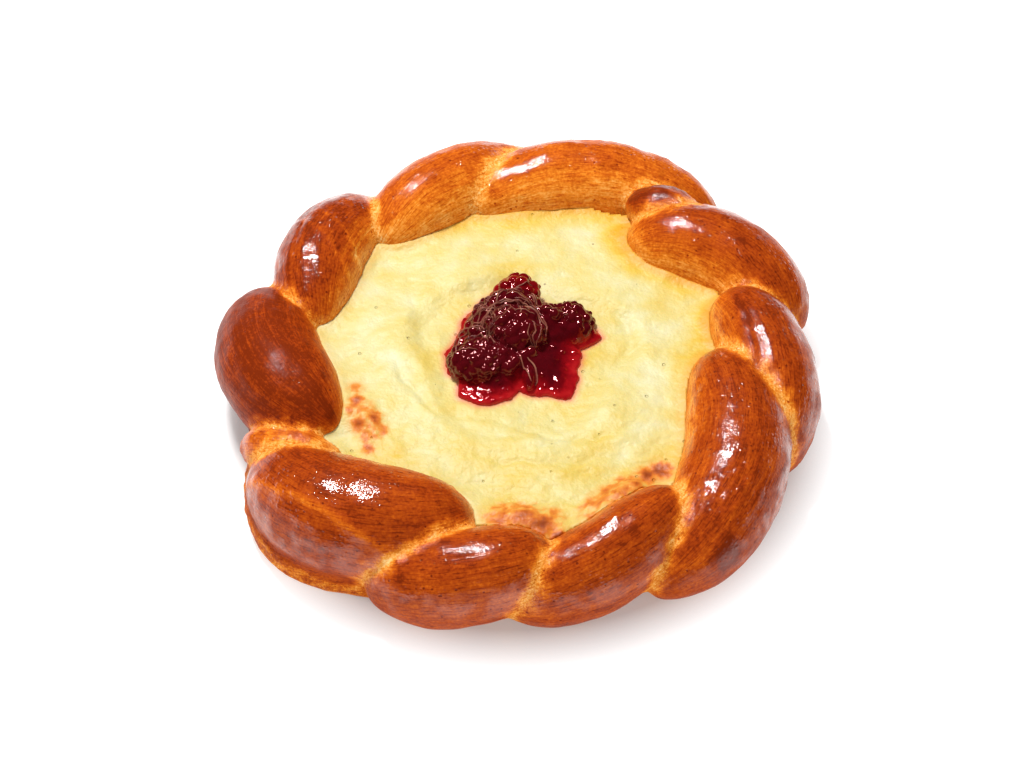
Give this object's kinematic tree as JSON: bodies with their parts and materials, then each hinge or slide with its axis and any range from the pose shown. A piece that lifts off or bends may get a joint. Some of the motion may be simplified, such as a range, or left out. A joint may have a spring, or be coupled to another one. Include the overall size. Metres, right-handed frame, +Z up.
{
  "type": "vatrushka",
  "caption": "Round sweet bun with a twisted dough rim, a flat base, a baked curd filling and red berry jam in the middle.",
  "frame": {"origin": "on the surface the bun rests on, under the middle of its outline", "axes": "+Z up out of the filling; -Y towards the side that faces the camera; +X to its right"},
  "size_m": [0.129, 0.1308, 0.0265],
  "materials": {
    "crust": "glossy egg-washed crust, golden in the creases and dark brown on the crests",
    "curd": "soft satin baked curd, pale yellow with a few tiny specks",
    "jam": "wet translucent red jam, bright where thin and nearly black where thick",
    "berry": "wet dark red cooked berry"
  },
  "bodies": {
    "root": {"dough": "crust", "curd": "curd", "jam": "jam", "berry_middle": "berry", "berry_left": "berry", "berry_right": "berry", "berry_back": "berry"}
  },
  "joints": []
}
